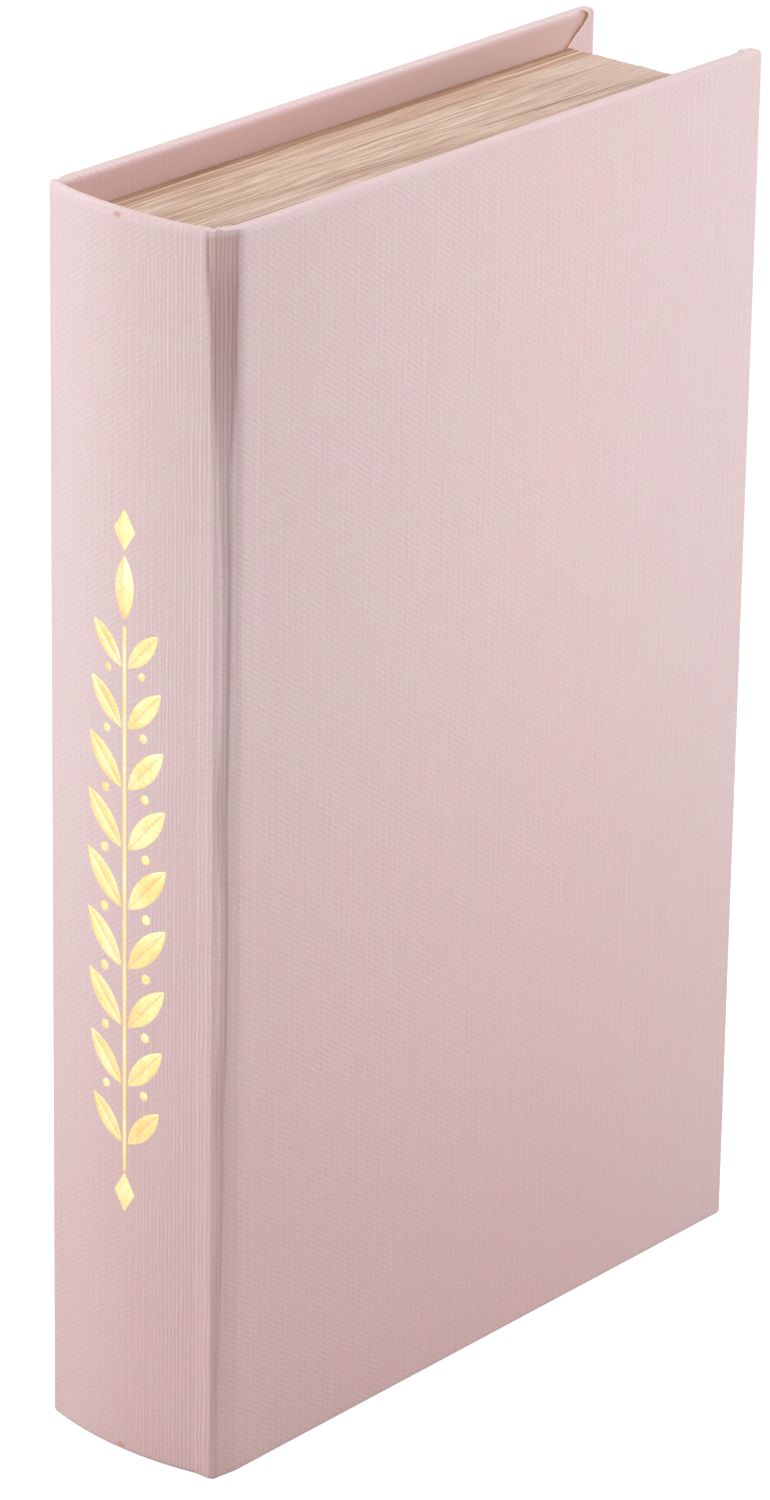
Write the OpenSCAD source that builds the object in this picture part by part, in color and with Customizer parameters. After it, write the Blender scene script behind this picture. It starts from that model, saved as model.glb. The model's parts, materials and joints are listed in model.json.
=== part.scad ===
// Book-shaped storage box: a tray behind false page edges, bound in cloth like a hardback book.
// It stands on its tail. X runs from the spine to the fore edge, the lid faces -Y, and Z runs
// from the tail up to the head. The origin is under the middle of the closed box.

/* [Covers] */
// Height of the covers, tail to head
cover_h = 270; // [200:1:330]
// Width of each cover, joint to fore edge
cover_w = 164; // [120:1:230]
// Thickness over both closed covers
book_t = 48.5; // [36:0.5:80]
// Thickness of the grey board in the covers
board_t = 2.8; // [2:0.1:4]
// Radius of the covers' cloth rims
rim_r = 0.9; // [0.6:0.1:1.2]

/* [Cloth and paper] */
// Thickness of the book cloth
cloth_t = 0.35; // [0.2:0.05:0.5]
// Width of the cloth turned in round the boards
turn_in = 15; // [12:1:18]
// Width of the seam between two turn-ins at a mitred corner
mitre_gap = 0.3; // [0.2:0.1:0.6]
// Thickness of the lining paper
paper_t = 0.25; // [0.15:0.05:0.35]
// Cloth left showing round the lid's lining paper
paper_margin = 5; // [3:0.5:8]

/* [Spine and joints] */
// Rise of the rounded spine at its middle
spine_round = 3.2; // [1:0.1:8]
// Distance from a cover's face back to the spine's edge
spine_inset = 2.4; // [1.6:0.1:3]
// Thickness of the curved spine board
spine_board_t = 1.6; // [1:0.1:2.4]
// Radius of the spine's cloth rims at head and tail
spine_rim_r = 0.8; // [0.6:0.1:1]
// Width of the joint between a cover and the spine
joint_w = 4; // [3.5:0.1:8]
// How far the joint's groove is pressed into a cover's face
press_w = 3.4; // [2:0.1:5]
// Depth of that pressing at the cover's joint edge
press_d = 1.5; // [0.6:0.1:1.6]
// Width of the inner hinge strip pasted to the lid
strip_on_lid = 10; // [6:0.5:20]
// Width of the inner hinge strip pasted to the tray
strip_on_tray = 12; // [6:0.5:16]

/* [Tray] */
// Overhang of the covers past the page edges at head and tail
head_over = 7.4; // [3:0.1:12]
// Overhang of the covers past the page edges at the fore edge
fore_over = 7.8; // [3:0.1:12]
// Thickness of the tray's walls
wall_t = 6; // [5.5:0.5:10]
// Thickness of the tray's floor
floor_t = 2; // [1:0.5:5]
// Running gap between the tray's rim and the closed lid
lid_gap = 0.3; // [0.2:0.1:1]
// Glue line between the walls' rounded ends and the spine
glue_gap = 0.1; // [0.05:0.05:0.3]

/* [Page edges] */
// Thickness of the false page edges
page_t = 1.6; // [1.2:0.1:3]
// Number of leaves that the page edges show
leaf_count = 28; // [12:1:40]
// Furthest that a leaf's edge lies back from the foremost
leaf_step = 0.4; // [0.1:0.05:0.5]
// Depth of the slit between two leaves, below the furthest leaf
slit_depth = 0.3; // [0.1:0.05:0.5]
// Width of the slit between two leaves
slit_w = 0.3; // [0.15:0.05:0.5]

/* [Catch] */
// Diameter of the magnets in the tray's fore-edge wall
magnet_d = 4.5; // [3:0.5:5]
// Length of the magnets
magnet_l = 3; // [2:0.5:6]
// Diameter of the steel discs in the lid
disc_d = 8; // [5:0.5:12]
// Thickness of the steel discs
disc_t = 1; // [0.5:0.1:1.5]
// Distance between the two catches
catch_pitch = 120; // [60:5:180]
// Radial clearance of a magnet or disc in its pocket
pocket_gap = 0.05; // [0.02:0.01:0.2]

/* [Hidden] */

arc_fn = 240;
rim_fn = 48;
pocket_fn = 64;
// How far a cut runs past what it cuts
over = 0.05;
clear = 1;

cloth_colour = "#ddc7c5";
board_colour = "#a69a8c";
paper_colour = "#f1e8df";
wood_colour = "#c8ab86";
page_colour = "#dcc5ab";
magnet_colour = "#b9bcc0";

// Covers: the fore edge, the joint edge, and the planes of a cover's layers
half_t = book_t / 2;
cover_t = board_t + 2 * cloth_t;
x_fore = (cover_w + joint_w + spine_round) / 2;
x_joint = x_fore - cover_w;
y_board = -half_t + cloth_t + board_t;
y_cover = -half_t + cover_t;
press_angle = atan(press_d / press_w);

// Spine: an arc through its two edges, with its axis on the book's middle plane
x_spine = x_joint - joint_w;
spine_half = half_t - spine_inset;
spine_r = (pow(spine_half, 2) + pow(spine_round, 2)) / (2 * spine_round);
spine_cx = x_spine - spine_round + spine_r;
spine_angle = asin(spine_half / spine_r);
spine_in_r = spine_r - 2 * cloth_t - spine_board_t;
end_r = spine_in_r - glue_gap;
function arc_x(r, y) = spine_cx - sqrt(pow(r, 2) - pow(y, 2));

// Tray: its rim under the lid, its floor, and the outer planes of the walls
y_rim = y_cover + paper_t + lid_gap;
y_wall = y_rim + paper_t;
y_back = half_t - cover_t;
y_floor = y_back - floor_t;
x_strip = arc_x(spine_in_r + cloth_t, y_board);
x_wall_s = max(x_strip + paper_t, arc_x(spine_in_r, y_back)) + glue_gap;
x_page = x_fore - fore_over;
x_wall_f = x_page - page_t;
z_page = cover_h - head_over;
z_wall_h = z_page - page_t;
z_wall_t = cover_h - z_wall_h;
x_in_s = x_wall_s + wall_t;
x_in_f = x_wall_f - wall_t;
z_in_h = z_wall_h - wall_t;
z_in_t = z_wall_t + wall_t;

// Lid's lining, beside the hinge strip
x_lining = x_joint + strip_on_lid;

// Catches in the middle of the fore-edge wall
x_catch = (x_in_f + x_wall_f) / 2;
z_catches = [cover_h / 2 - catch_pitch / 2, cover_h / 2 + catch_pitch / 2];

// How far each leaf's edge lies back from the foremost
leaf_pitch = (y_back - y_rim) / leaf_count;
leaf_backs = rands(0, leaf_step, leaf_count, 11);

// A block between two opposite corners
module block(low, high) {
  translate(low) cube(high - low);
}

// A rectangle with all four corners rounded, kept as true arcs
module round_rect(w, h, r) {
  translate([r, 0]) square([w - 2 * r, h]);
  translate([0, r]) square([w, h - 2 * r]);
  for (x = [r, w - r], y = [r, h - r]) translate([x, y]) circle(r, $fn = rim_fn);
}

// A profile drawn in Y and Z, drawn out along X
module along_x(length) {
  rotate([90, 0, 90]) linear_extrude(length) children();
}

// The front cover's slab, drawn in from its faces by inset, rounded at head, tail and fore edge
module cover_slab(inset) {
  r = rim_r - inset;
  t = cover_t - 2 * inset;
  difference() {
    intersection() {
      translate([x_joint + inset - clear, -half_t + inset, 0])
        linear_extrude(cover_h) round_rect(cover_w - 2 * inset + clear, t, r);
      translate([x_joint + inset, -half_t + inset, inset])
        along_x(cover_w) round_rect(t, cover_h - 2 * inset, r);
    }
    translate([x_joint + press_w, -half_t, -clear])
      rotate(-press_angle)
        translate([-2 * press_w, inset - cover_t, 0]) cube([4 * press_w, cover_t, cover_h + 2 * clear]);
  }
}

// The cloth over a cover: its face, rims and turn-ins, with mitred corners
module cover_cloth() {
  difference() {
    cover_slab(0);
    cover_slab(cloth_t);
    block([x_joint - clear, y_board - over, turn_in], [x_fore - turn_in, y_cover + clear, cover_h - turn_in]);
    block([x_joint - clear, y_board - over, cloth_t], [x_joint + cloth_t, y_cover + clear, cover_h - cloth_t]);
    mitre(0, 45);
    mitre(cover_h, -45);
  }
}

// The seam of the mitre at one fore-edge corner, through the turn-ins alone
module mitre(z_corner, slope) {
  reach = turn_in * sqrt(2);
  translate([x_fore, y_board - over, z_corner])
    rotate([0, slope, 0])
      translate([-reach - clear, 0, -mitre_gap / 2])
        cube([reach + clear - rim_r * sqrt(2) - mitre_gap, cloth_t + 2 * over, mitre_gap]);
}

// The spine's shell, drawn in from its faces by inset, rounded at head and tail
module spine_shell(inset) {
  half_angle = spine_angle - inset / spine_r * 180 / PI;
  translate([spine_cx, 0, inset])
    rotate(180 - half_angle)
      rotate_extrude(angle = 2 * half_angle, $fn = arc_fn)
        translate([spine_in_r + inset, 0])
          round_rect(spine_r - spine_in_r - 2 * inset, cover_h - 2 * inset, spine_rim_r - inset);
}

// Cloth across the front joint, from the spine's corner to the cover, in one or two layers
module joint_section(layers) {
  t = layers * cloth_t;
  translate([0, -spine_half])
    polygon([[x_spine, 0], [x_joint, 0], [x_joint, t], [x_spine + t / tan(spine_angle), t]]);
}

// The same cloth at its full height, turned in at head and tail
module joint_cloth() {
  linear_extrude(cover_h) joint_section(1);
  for (z = [0, cover_h - turn_in]) translate([0, 0, z]) linear_extrude(turn_in) joint_section(2);
}

// Outline of the page block seen from the head, with its end rounded to the spine
module block_outline(x_end, y_low, y_high) {
  intersection() {
    union() {
      translate([spine_cx, 0]) circle(end_r, $fn = arc_fn);
      translate([spine_cx, -half_t]) square([x_end - spine_cx, book_t]);
    }
    translate([x_wall_s - spine_round - clear, y_low])
      square([x_end - x_wall_s + spine_round + clear, y_high - y_low]);
  }
}

// Head wall, whose rounded end carries the spine
module end_wall() {
  translate([0, 0, z_in_h]) linear_extrude(wall_t) block_outline(x_wall_f, y_wall, y_floor);
}

// Profile across the leaves: how far each edge stands out, with a slit after each leaf
module leaves_profile() {
  slit = page_t - leaf_step - slit_depth;
  edges = [for (i = [0 : leaf_count - 1])
    let (y0 = y_rim + i * leaf_pitch, y1 = y0 + leaf_pitch - slit_w, out = page_t - leaf_backs[i])
    each [[y0, slit], [y0, out], [y1, out], [y1, slit]]];
  polygon(concat([[y_rim, 0]], edges, [[y_back, slit], [y_back, 0]]));
}

// Leaves' edges at the head, rounded to the spine and mitred at the fore edge
module end_page_edges() {
  intersection() {
    translate([x_wall_s - spine_round - clear, 0, z_wall_h])
      along_x(x_page - x_wall_s + spine_round + clear) leaves_profile();
    translate([0, 0, z_wall_h]) linear_extrude(page_t) block_outline(x_page, y_rim, y_back);
    mitre_half([[x_wall_f, z_wall_h], [x_page, z_page], [x_wall_s - 2 * wall_t, z_page],
      [x_wall_s - 2 * wall_t, z_wall_h]]);
  }
}

// A prism through the whole thickness, from an outline in X and Z
module mitre_half(outline) {
  translate([0, half_t, 0]) rotate([90, 0, 0]) linear_extrude(book_t) polygon(outline);
}

// Lining of the head wall, turned over the wall's rim
module end_wall_lining() {
  block([x_in_s, y_rim, z_in_h - paper_t], [x_in_f, y_floor - paper_t, z_in_h]);
  block([arc_x(end_r, y_rim), y_rim, z_in_h], [x_wall_f, y_wall, z_wall_h]);
}

// A copy turned over from head to tail
module at_tail() {
  translate([0, 0, cover_h]) mirror([0, 0, 1]) children();
}

// A copy turned over from front to back
module at_back() {
  mirror([0, 1, 0]) children();
}

// A cylinder along Y at each catch, from y_low to y_high
module at_catches(d, y_low, y_high) {
  for (z = z_catches)
    translate([x_catch, y_high, z])
      rotate([90, 0, 0]) cylinder(d = d, h = y_high - y_low, $fn = pocket_fn);
}

module back_board() {
  color(board_colour) at_back() cover_slab(cloth_t);
}

module back_cloth() {
  color(cloth_colour) at_back() cover_cloth();
}

module back_joint_cloth() {
  color(cloth_colour) at_back() joint_cloth();
}

module spine_board() {
  color(board_colour) spine_shell(cloth_t);
}

module spine_cloth() {
  color(cloth_colour)
    difference() {
      spine_shell(0);
      spine_shell(cloth_t);
      translate([spine_cx, 0, turn_in])
        cylinder(r = spine_in_r + cloth_t + over, h = cover_h - 2 * turn_in, $fn = arc_fn);
    }
}

module tray_floor() {
  color(wood_colour) block([x_wall_s, y_floor, z_wall_t], [x_wall_f, y_back, z_wall_h]);
}

module head_wall() {
  color(wood_colour) end_wall();
}

module tail_wall() {
  color(wood_colour) at_tail() end_wall();
}

module fore_edge_wall() {
  color(wood_colour)
    difference() {
      block([x_in_f, y_wall, z_in_t], [x_wall_f, y_floor, z_in_h]);
      at_catches(magnet_d + 2 * pocket_gap, y_wall - clear, y_wall + magnet_l);
    }
}

module spine_wall() {
  color(wood_colour) block([x_wall_s, y_wall, z_in_t], [x_in_s, y_floor, z_in_h]);
}

module head_page_edges() {
  color(page_colour) end_page_edges();
}

module tail_page_edges() {
  color(page_colour) at_tail() end_page_edges();
}

module fore_edge_page_edges() {
  color(page_colour)
    intersection() {
      translate([x_wall_f, 0, 0]) linear_extrude(cover_h) rotate(-90) mirror([1, 0]) leaves_profile();
      mitre_half([[x_wall_f, z_wall_t], [x_page, head_over], [x_page, z_page], [x_wall_f, z_wall_h]]);
    }
}

module floor_lining() {
  color(paper_colour) block([x_in_s, y_floor - paper_t, z_in_t], [x_in_f, y_floor, z_in_h]);
}

module head_wall_lining() {
  color(paper_colour) end_wall_lining();
}

module tail_wall_lining() {
  color(paper_colour) at_tail() end_wall_lining();
}

module fore_edge_wall_lining() {
  color(paper_colour) {
    block([x_in_f - paper_t, y_rim, z_in_t + paper_t], [x_in_f, y_floor - paper_t, z_in_h - paper_t]);
    block([x_in_f, y_rim, z_in_t], [x_wall_f, y_wall, z_in_h]);
  }
}

module spine_wall_lining() {
  color(paper_colour) {
    block([x_in_s, y_rim, z_in_t + paper_t], [x_in_s + paper_t, y_floor - paper_t, z_in_h - paper_t]);
    block([x_wall_s, y_rim, z_in_t], [x_in_s, y_wall, z_in_h]);
  }
}

module tray_magnets() {
  color(magnet_colour) at_catches(magnet_d, y_wall, y_wall + magnet_l);
}

module front_joint_cloth() {
  color(cloth_colour) joint_cloth();
}

// Runs from the lid's inner face across the joint and down behind the spine wall
module inner_hinge_strip() {
  color(paper_colour) {
    block([x_wall_s - paper_t, y_board, z_in_t], [x_lining, y_board + paper_t, z_in_h]);
    block([x_wall_s - paper_t, y_board, z_in_t], [x_wall_s, y_wall + strip_on_tray, z_in_h]);
  }
}

module front_board() {
  color(board_colour)
    difference() {
      cover_slab(cloth_t);
      at_catches(disc_d + 2 * pocket_gap, y_board - disc_t, y_board + clear);
    }
}

module front_cloth() {
  color(cloth_colour) cover_cloth();
}

// Pasted over the turn-ins, and down on the board inside them
module front_lining() {
  x_step = x_fore - turn_in;
  color(paper_colour)
    difference() {
      union() {
        block([x_lining, y_cover, paper_margin], [x_fore - paper_margin, y_cover + paper_t, cover_h - paper_margin]);
        block([x_lining, y_board, turn_in], [x_step, y_cover + paper_t, cover_h - turn_in]);
      }
      block([x_lining - clear, y_board + paper_t, turn_in + paper_t],
        [x_step - paper_t, y_cover + clear, cover_h - turn_in - paper_t]);
    }
}

module lid_discs() {
  color(magnet_colour) at_catches(disc_d, y_board - disc_t, y_board);
}

back_board();
back_cloth();
back_joint_cloth();
spine_board();
spine_cloth();
tray_floor();
head_wall();
tail_wall();
fore_edge_wall();
spine_wall();
head_page_edges();
tail_page_edges();
fore_edge_page_edges();
floor_lining();
head_wall_lining();
tail_wall_lining();
fore_edge_wall_lining();
spine_wall_lining();
tray_magnets();
front_joint_cloth();
inner_hinge_strip();
front_board();
front_cloth();
front_lining();
lid_discs();
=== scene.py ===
import json
from math import asin, atan2, cos, pi, radians, sin, sqrt

import bmesh
import bpy
import numpy as np
from mathutils import Matrix, Vector

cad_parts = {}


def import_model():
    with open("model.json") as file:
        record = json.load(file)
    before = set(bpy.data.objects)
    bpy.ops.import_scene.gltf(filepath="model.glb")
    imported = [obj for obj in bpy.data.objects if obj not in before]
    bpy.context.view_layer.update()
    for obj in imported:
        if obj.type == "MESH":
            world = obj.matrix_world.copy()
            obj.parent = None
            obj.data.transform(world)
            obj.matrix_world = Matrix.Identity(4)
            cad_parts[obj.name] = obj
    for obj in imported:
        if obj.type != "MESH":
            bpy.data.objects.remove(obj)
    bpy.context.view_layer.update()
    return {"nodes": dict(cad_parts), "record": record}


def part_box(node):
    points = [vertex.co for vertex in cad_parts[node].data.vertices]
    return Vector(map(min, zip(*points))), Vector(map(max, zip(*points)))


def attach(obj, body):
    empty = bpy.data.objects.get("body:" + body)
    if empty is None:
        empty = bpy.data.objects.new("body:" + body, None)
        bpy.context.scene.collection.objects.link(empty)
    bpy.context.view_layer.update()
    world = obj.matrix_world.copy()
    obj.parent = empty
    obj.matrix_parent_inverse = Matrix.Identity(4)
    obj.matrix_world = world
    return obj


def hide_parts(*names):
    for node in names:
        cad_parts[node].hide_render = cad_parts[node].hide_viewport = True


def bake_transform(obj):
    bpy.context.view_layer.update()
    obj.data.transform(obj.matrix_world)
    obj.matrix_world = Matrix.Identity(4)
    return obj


# A storage box bound in cloth like a hardback book. X runs from the spine to the fore edge,
# the lid faces -Y, and Z runs from the tail up to the head. Lengths are in metres.

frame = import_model()

MM = 0.001
NEAR = 1e-6

# Sizes that the frame gives
lid_low, lid_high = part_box("front_cloth")
board_low, board_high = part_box("front_board")
spine_low, spine_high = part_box("spine_cloth")
joint_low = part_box("front_joint_cloth")[0]
head_low, head_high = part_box("head_page_edges")
fore_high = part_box("fore_edge_page_edges")[1]
strip_low, strip_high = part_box("inner_hinge_strip")
HEIGHT = lid_high.z
X_JOINT, X_FORE = lid_low.x, lid_high.x
Y_FACE, Y_INSIDE = lid_low.y, lid_high.y
CLOTH_T = board_low.y - lid_low.y
X_SPINE = joint_low.x
SPINE_HALF = spine_high.y
SPINE_ROUND = X_SPINE - spine_low.x
SPINE_R = (SPINE_HALF ** 2 + SPINE_ROUND ** 2) / (2 * SPINE_ROUND)
SPINE_AXIS = spine_low.x + SPINE_R
SPINE_ANGLE = asin(SPINE_HALF / SPINE_R)

# Sizes that the part's source gives and the frame's boxes don't
TURN_IN = 15 * MM
RIM_R = 0.9 * MM
SPINE_RIM_R = 0.8 * MM
SPINE_T = 2.3 * MM
PAPER_T = 0.25 * MM
GLUE_GAP = 0.1 * MM

RIM_STEPS = 6

# Camera: the photograph's, fitted to the corners of the covers, the spine and the page block
PHOTO_W, PHOTO_H = 770, 1500
FOCAL_PX = 6844.3
CENTRE_PX = (409.43, 728.56)
CAMERA_AZ, CAMERA_EL, CAMERA_ROLL = radians(-49.92), radians(22.374), radians(0.983)
CAMERA_DISTANCE = 1.4345
SENSOR = 36.0


def set_camera():
    back = Vector((sin(CAMERA_AZ) * cos(CAMERA_EL), -cos(CAMERA_AZ) * cos(CAMERA_EL), sin(CAMERA_EL)))
    right = Vector((0, 0, 1)).cross(back).normalized()
    up = back.cross(right)
    side = right * cos(CAMERA_ROLL) + up * sin(CAMERA_ROLL)
    top = up * cos(CAMERA_ROLL) - right * sin(CAMERA_ROLL)
    target = Vector(((X_FORE + X_JOINT) / 2, 0, HEIGHT / 2))
    data = bpy.data.cameras.new("camera")
    data.sensor_width = SENSOR
    data.lens = FOCAL_PX / PHOTO_H * SENSOR
    data.shift_x = (PHOTO_W / 2 - CENTRE_PX[0]) / PHOTO_H
    data.shift_y = (CENTRE_PX[1] - PHOTO_H / 2) / PHOTO_H
    data.clip_end = 50
    camera = bpy.data.objects.new("camera", data)
    camera.matrix_world = Matrix((side, top, back)).transposed().to_4x4()
    camera.location = target + back * CAMERA_DISTANCE
    bpy.context.scene.collection.objects.link(camera)
    bpy.context.scene.camera = camera


set_camera()


# Modelling tools: each acts on the piece that is active
def select_only(piece=None):
    bpy.ops.object.select_all(action="DESELECT")
    bpy.context.view_layer.objects.active = piece
    if piece:
        piece.select_set(True)


def settle(name):
    """Names the piece just made and puts its place into its mesh."""
    piece = bpy.context.object
    piece.name = piece.data.name = name
    bpy.ops.object.transform_apply(location=True, rotation=True, scale=True)
    return piece


def editing(on):
    bpy.ops.object.mode_set(mode="EDIT" if on else "OBJECT")


def lies(ends, axis, value):
    """Whether all of these corners lie on the plane where axis is value."""
    return all(abs(getattr(end, axis) - value) < NEAR for end in ends)


def choose(kind, test):
    """In edit mode, selects only the faces or edges whose corners pass the test."""
    bpy.ops.mesh.select_mode(type=kind)
    bpy.ops.mesh.select_all(action="DESELECT")
    shape = bmesh.from_edit_mesh(bpy.context.object.data)
    for item in shape.faces if kind == "FACE" else shape.edges:
        if test([end.co for end in item.verts]):
            item.select_set(True)
    shape.select_flush_mode()
    bmesh.update_edit_mesh(bpy.context.object.data)


def choose_all(kind=None):
    if kind:
        bpy.ops.mesh.select_mode(type=kind)
    bpy.ops.mesh.select_all(action="SELECT")


def cut(point, normal, test=None, **how):
    """Cuts the faces that pass the test, or everything, along a plane."""
    if test:
        choose("FACE", test)
    else:
        choose_all()
    bpy.ops.mesh.bisect(plane_co=point, plane_no=normal, **how)


def remove_faces(test):
    choose("FACE", test)
    bpy.ops.mesh.delete(type="FACE")


def numbers(items, name, width=1, kind=np.float32):
    """What all these corners or faces hold under a name, as an array with a row for each."""
    values = np.empty(len(items) * width, kind)
    items.foreach_get(name, values)
    return values.reshape(-1, width) if width > 1 else values


def move_corners(piece, change):
    """Moves the corners to where change says: it takes and gives an array of points."""
    points = change(numbers(piece.data.vertices, "co", 3).astype(float))
    piece.data.vertices.foreach_set("co", points.astype(np.float32).ravel())
    piece.data.update()


def finish_with(piece, kind, **settings):
    """Adds a modifier and applies it."""
    select_only(piece)
    modifier = piece.modifiers.new(kind.lower(), kind)
    for key, value in settings.items():
        setattr(modifier, key, value)
    bpy.ops.object.modifier_apply(modifier=modifier.name)


def smooth(piece, angle):
    """Soft shading wherever the surface turns by less than this many degrees."""
    select_only(piece)
    bpy.ops.object.shade_smooth_by_angle(angle=radians(angle))


def smooth_rims(piece):
    """Soft shading over the rims, and flat faces that stay flat."""
    smooth(piece, 40)
    finish_with(piece, "WEIGHTED_NORMAL", keep_sharp=True)


def ease(x):
    """Rises from 0 to 1 smoothly as x does."""
    x = np.clip(x, 0, 1)
    return x * x * (3 - 2 * x)


def in_mm(*stops):
    return [(place * MM, value * MM) for place, value in stops]


def along(stops, at):
    """Value at a place, from stops of place and value, in rising order of place."""
    places, values = zip(*stops)
    return np.interp(at, places, values)


def sheet(name, columns, rows, place):
    """A flat grid laid where place says. It takes the grid's u and v as arrays from 0 to 1 and
    gives the points, and what lies flat on the cloth or paper: a pair of lengths a point."""
    select_only()
    bpy.ops.mesh.primitive_grid_add(x_subdivisions=columns, y_subdivisions=rows, size=1)
    piece = settle(name)
    laid = []

    def lay(points):
        at, flat = place(points[:, 0] + 0.5, points[:, 1] + 0.5)
        laid.append(flat)
        return at

    move_corners(piece, lay)
    set_weave(piece, lambda points, normals, corners: laid[0][corners])
    return piece


def set_weave(piece, flat):
    """Writes the map that the weave follows, in metres. flat takes every face corner's point,
    its face's normal and its number, and gives a pair of lengths for each."""
    mesh = piece.data
    corners = numbers(mesh.loops, "vertex_index", kind=np.int32)
    points = numbers(mesh.vertices, "co", 3)[corners].astype(float)
    sizes = numbers(mesh.polygons, "loop_total", kind=np.int32)
    normals = np.repeat(numbers(mesh.polygons, "normal", 3), sizes, axis=0)
    pairs = flat(points, normals, corners)
    for layer in list(mesh.uv_layers):
        mesh.uv_layers.remove(layer)
    mesh.uv_layers.new(name="weave").data.foreach_set("uv", pairs.astype(np.float32).ravel())


def set_mark(piece, name, values):
    """Writes one number a corner, for the finish to read."""
    mark = piece.data.attributes.new(name, "FLOAT", "POINT")
    mark.data.foreach_set("value", np.asarray(values, np.float32))


# Covers
PLAN_CORNER_R = 1.0 * MM
COVER_CLOTH_START = X_JOINT + 5.4 * MM
# Cuts across the cloth, in mm from the fore edge and from each end: 15 is where the turn-ins stop
FORE_EDGE_CUTS = (1.4, 2, 2.6, 3, 3.4, 3.8, 4.2, 4.6, 5.2, 6, 15, 22.5)
END_CUTS = (2, 4, 6, 8, 15, 22.5)
# The mitre's crease: how far it runs in from the fore edge for each length from the head, and its
# hook over the rim
CREASE_SLOPE = 1.36
CREASE_STRETCH = sqrt(1 + CREASE_SLOPE ** 2)
CREASE_HOOK, HOOK_REACH = 3.6 * MM, 0.9 * MM
# How high the cloth stands by the distance across the crease, and how far the fold at each corner
# of the lid stands up by the distance from the fore edge
CREASE_PROFILE = in_mm((-3.5, 0), (-1.6, 0.05), (-0.75, 0.14), (-0.3, 0.16), (-0.05, -0.05),
                       (0.15, -0.3), (0.45, -0.32), (1.2, -0.14), (3, 0))
CORNER_LUMP = in_mm((0, 0), (3, 0.15), (3.8, 0.55), (4.6, 0.5), (5.2, 0), (20, 0))
# How far the head's rim sinks at the joint, at the face and more at the inner edge, and over what reach
SAG_FACE, SAG_INNER = 0.1 * MM, 0.32 * MM
SAG_REACH, SAG_HEIGHT = 50 * MM, 10 * MM


def sag(x, z, depth_share):
    """How far the cloth lies below its straight line, near the joint's head."""
    near = (1 - ease((x - X_JOINT) / SAG_REACH)) * ease(1 - (HEIGHT - z) / SAG_HEIGHT)
    return near * (SAG_FACE + (SAG_INNER - SAG_FACE) * depth_share)


def cover_cloth(name):
    """The cloth over the lid: its face, soft rims and mitred turn-ins, round the board's edges."""
    select_only()
    bpy.ops.mesh.primitive_cube_add(size=1, location=(lid_low + lid_high) / 2, scale=lid_high - lid_low)
    piece = settle(name)
    editing(True)
    choose("EDGE", lambda e: lies(e, "x", X_FORE) and (lies(e, "z", 0) or lies(e, "z", HEIGHT)))
    bpy.ops.mesh.bevel(offset=PLAN_CORNER_R, segments=5, affect="EDGES")
    bpy.ops.mesh.select_all(action="DESELECT")
    bpy.ops.mesh.edges_select_sharp(sharpness=radians(60))
    bpy.ops.mesh.bevel(offset=RIM_R, segments=RIM_STEPS, affect="EDGES")
    # Cuts that the turn-ins, the corners' lumps and the softness of the rims need
    cut((0, board_high.y, 0), (0, 1, 0))
    for reach in FORE_EDGE_CUTS:
        cut((X_FORE - reach * MM, 0, 0), (1, 0, 0))
    for reach in END_CUTS:
        cut((0, 0, reach * MM), (0, 0, 1))
        cut((0, 0, HEIGHT - reach * MM), (0, 0, 1))
    cut((COVER_CLOTH_START, 0, 0), (1, 0, 0))
    remove_faces(lambda e: all(c.x < COVER_CLOTH_START + NEAR for c in e))
    remove_faces(lambda e: all(c.x < X_FORE - TURN_IN + NEAR and c.y > board_high.y - NEAR
                               and TURN_IN - NEAR < c.z < HEIGHT - TURN_IN + NEAR for c in e))
    for z_corner, up in ((HEIGHT, 1), (0, -1)):
        for across, _ in CREASE_PROFILE:
            cut((X_FORE - across * CREASE_STRETCH, 0, z_corner), (1, 0, -up * CREASE_SLOPE),
                lambda e: all(c.y > Y_INSIDE - RIM_R / 2 and X_FORE - c.x < TURN_IN + NEAR
                              and up * (z_corner - c.z) < TURN_IN + NEAR for c in e))
    editing(False)
    move_corners(piece, fold_corners)
    finish_with(piece, "SOLIDIFY", thickness=CLOTH_T, offset=-1)
    smooth_rims(piece)
    set_weave(piece, cover_weave)
    return piece


def fold_corners(points):
    """Sinks the mitres' creases and rolls the flaps' edges, and lifts the folds at the corners."""
    x, y, z = points.T
    from_fore = X_FORE - x
    from_end = np.minimum(HEIGHT - z, z)
    crease = CREASE_SLOPE * from_end + CREASE_HOOK * np.exp(-from_end / HOOK_REACH)
    across = (from_fore - crease) / CREASE_STRETCH
    turned_in = (from_fore < TURN_IN + NEAR) & (from_end < TURN_IN + NEAR)
    fade = ease((TURN_IN - from_fore) / (2 * MM)) * ease(from_fore / (1.5 * MM))
    inside = ease((y - (Y_INSIDE - RIM_R)) / (RIM_R * 0.8)) * turned_in * fade
    fold = along(CREASE_PROFILE, across) * inside
    lump = along(CORNER_LUMP, from_fore) * ease((y - (Y_INSIDE - 2.2 * MM)) / (1.2 * MM))
    lump *= ease(1 - from_end / (1.6 * MM)) * (z > HEIGHT / 2)
    on_rim = ease(1 - from_end / RIM_R)
    lump -= sag(x, z, (y - Y_FACE) / (Y_INSIDE - Y_FACE))
    z = z + lump + np.where(z > HEIGHT / 2, 1, -1) * np.minimum(fold, 0) * on_rim
    return np.stack([x, y + fold * (1 - 0.6 * on_rim), z], 1)


# Lengths along the cloth: from the spine's middle to its corner, and on to the lid's flat face
FLAT_SPINE = SPINE_R * SPINE_ANGLE
BRIDGE_END = Vector((X_JOINT + 1.9 * MM, Y_FACE))
BRIDGE_START = Vector((X_SPINE, -SPINE_HALF))
BRIDGE_LENGTH = (BRIDGE_END - BRIDGE_START).length


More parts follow.
